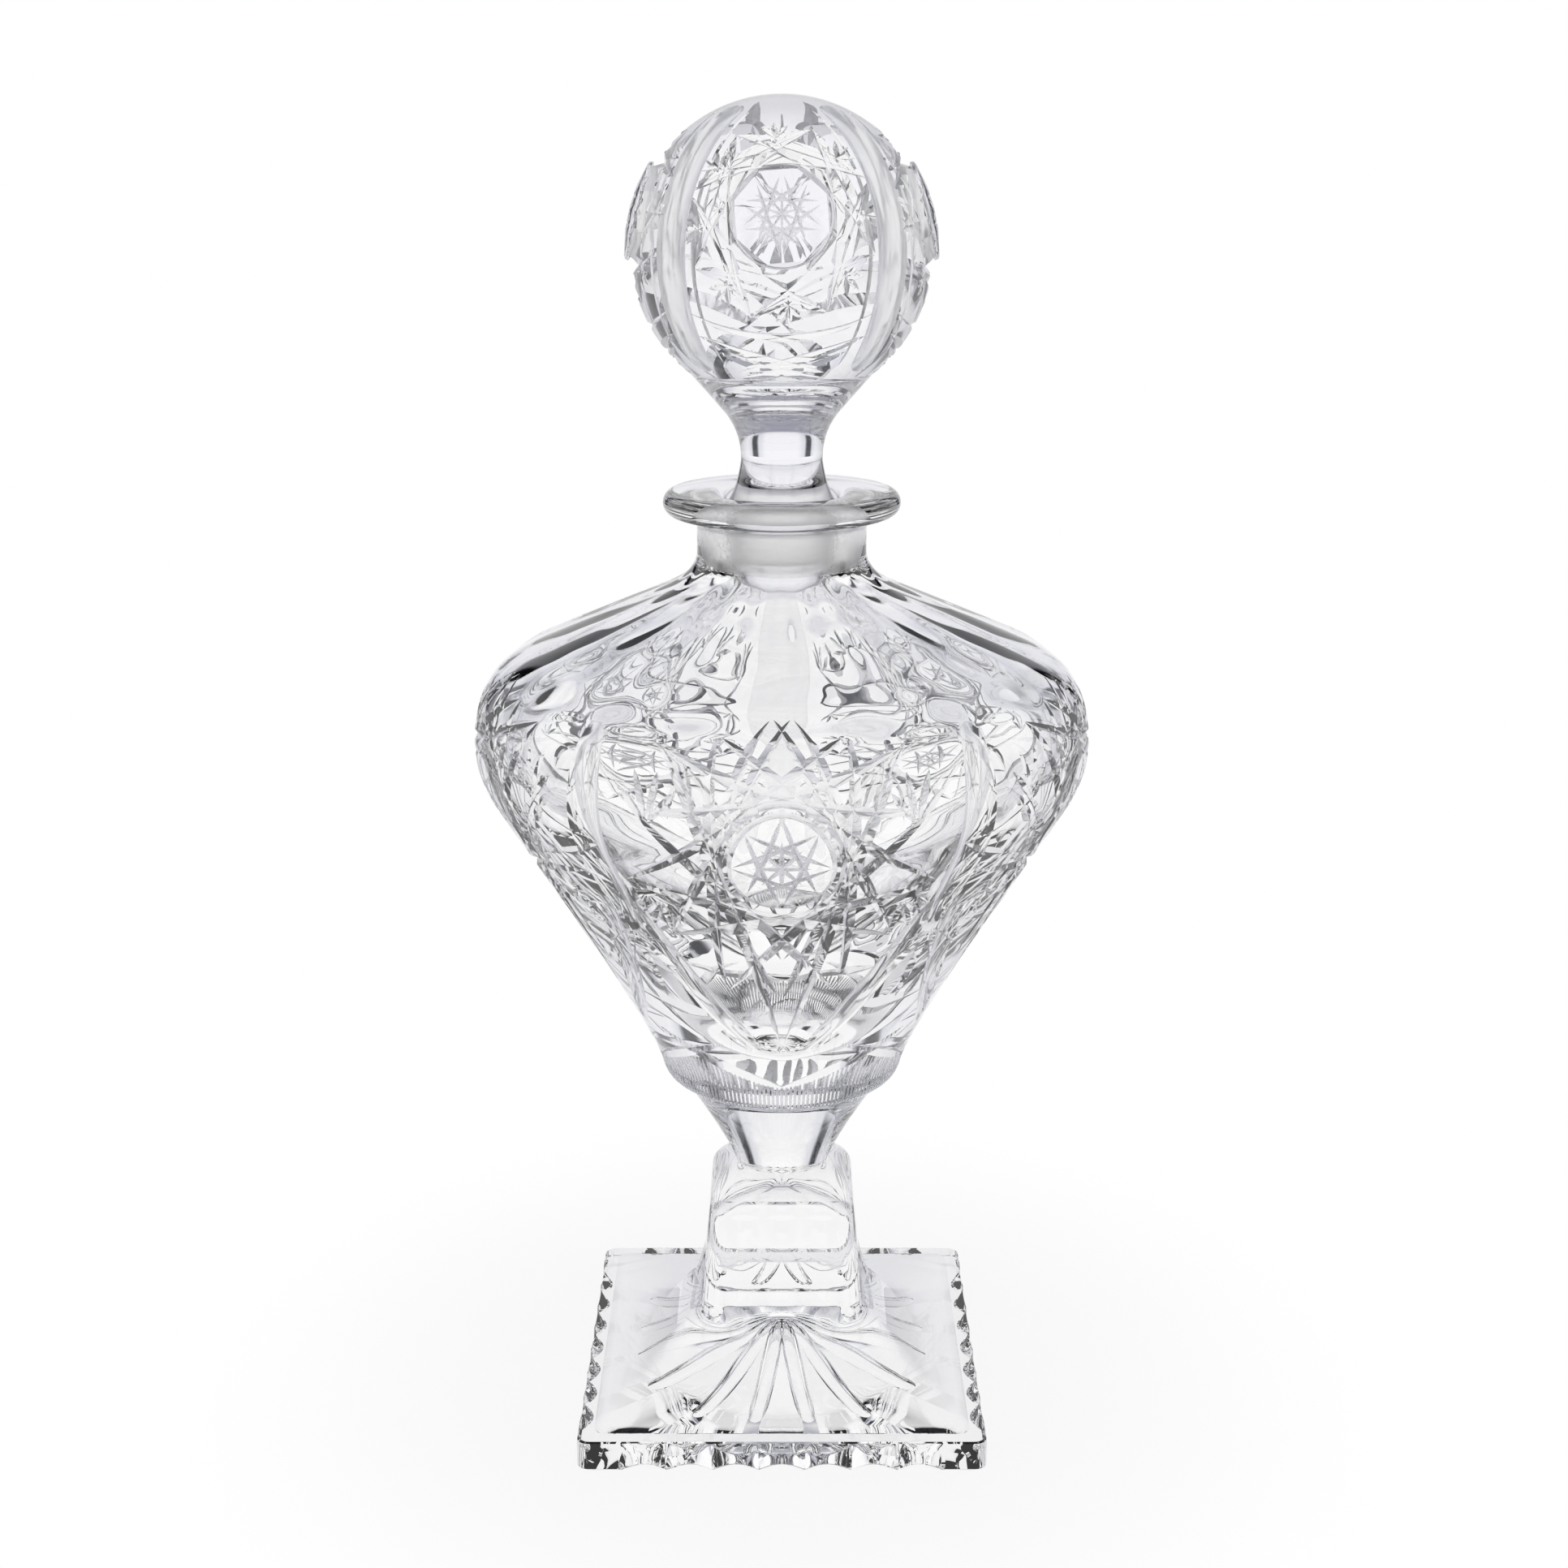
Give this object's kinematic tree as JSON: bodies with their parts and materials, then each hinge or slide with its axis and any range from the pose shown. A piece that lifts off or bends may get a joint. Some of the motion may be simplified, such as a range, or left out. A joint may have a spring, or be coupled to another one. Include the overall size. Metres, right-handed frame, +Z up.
{
  "type": "footed perfume bottle",
  "caption": "Tall cut-glass perfume bottle: a wide tapering bowl with star cutting, a short neck, a ball stopper and a stem on a square foot.",
  "frame": {"origin": "middle of the foot's underside", "axes": "+Z up through the stopper, -Y the side the picture shows, +X to its right"},
  "size_m": [0.119, 0.1187, 0.2573],
  "materials": {
    "foot": "clear, fire-polished",
    "vessel": "clear, cut and polished",
    "stopper": "clear, cut and polished, with a ground peg"
  },
  "bodies": {
    "bottle": {"vessel": "vessel", "foot": "foot"},
    "stopper": {"stopper": "stopper"}
  },
  "joints": [
    {"name": "stopper_lift", "type": "slide", "parent": "bottle", "child": "stopper", "axis": [0, 0, 1], "range_m": [0, 0.045]}
  ]
}
